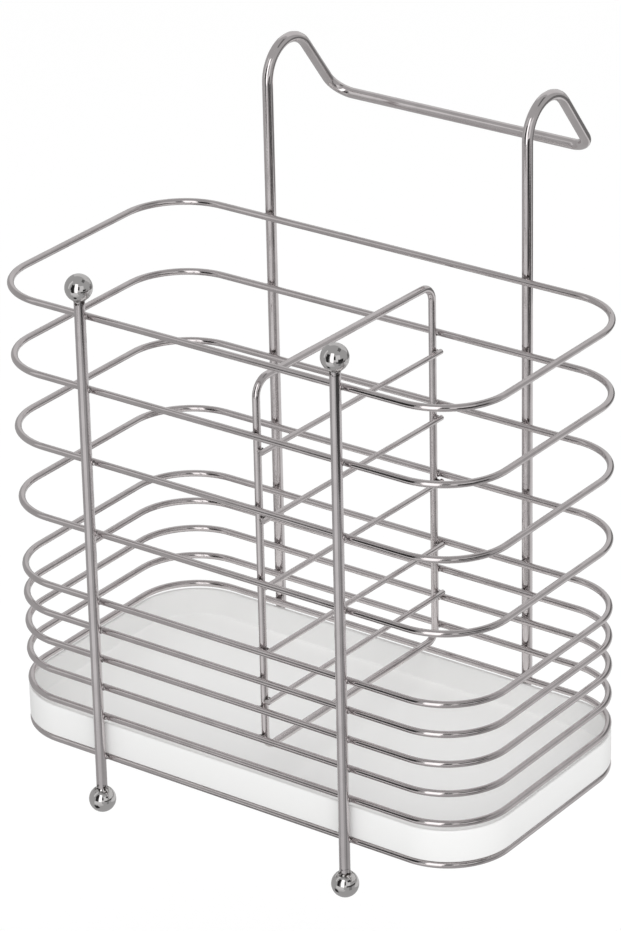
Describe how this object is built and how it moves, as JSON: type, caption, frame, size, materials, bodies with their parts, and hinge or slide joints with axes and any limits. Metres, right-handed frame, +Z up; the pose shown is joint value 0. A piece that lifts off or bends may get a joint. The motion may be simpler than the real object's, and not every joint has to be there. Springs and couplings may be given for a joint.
{
  "type": "hanging wire utensil basket",
  "caption": "Open basket of bent and welded chrome wire with a divider, rail hooks at the back, ball-ended front posts and a shallow drip tray that slides in under the floor ring.",
  "frame": {"origin": "where the top of the rail touches the inside of the two hooks' crowns, midway between the hooks", "axes": "+Z up, +Y towards the rail and the wall behind it, +X along the basket to the right as seen from its front"},
  "size_m": [0.208, 0.1638, 0.2618],
  "materials": {
    "ring_chrome": "bright chrome plating on bent wire, with small weld marks at the joints",
    "post_chrome": "bright chrome plating on straight wire",
    "ball_chrome": "polished chrome plating",
    "hanger_chrome": "bright chrome plating on bent wire",
    "divider_chrome": "bright chrome plating on thin wire, with small weld marks at the joints",
    "tray_plastic": "smooth white plastic with a soft sheen"
  },
  "bodies": {
    "basket": {"ring_01": "ring_chrome", "ring_02": "ring_chrome", "ring_03": "ring_chrome", "ring_04": "ring_chrome", "ring_05": "ring_chrome", "ring_06": "ring_chrome", "ring_07": "ring_chrome", "ring_08": "ring_chrome", "ring_09": "ring_chrome", "ring_10": "ring_chrome", "left_front_post": "post_chrome", "right_front_post": "post_chrome", "left_top_ball": "ball_chrome", "left_bottom_ball": "ball_chrome", "right_top_ball": "ball_chrome", "right_bottom_ball": "ball_chrome", "hanger_frame": "hanger_chrome", "divider_frame": "divider_chrome", "divider_bar_1": "divider_chrome", "divider_bar_2": "divider_chrome", "divider_bar_3": "divider_chrome", "divider_bar_4": "divider_chrome", "divider_bar_5": "divider_chrome"},
    "tray": {"drip_tray": "tray_plastic"}
  },
  "joints": [
    {"name": "tray_slide", "type": "slide", "parent": "basket", "child": "tray", "axis": [1, 0, 0], "range_m": [-0.22, 0.22]}
  ]
}
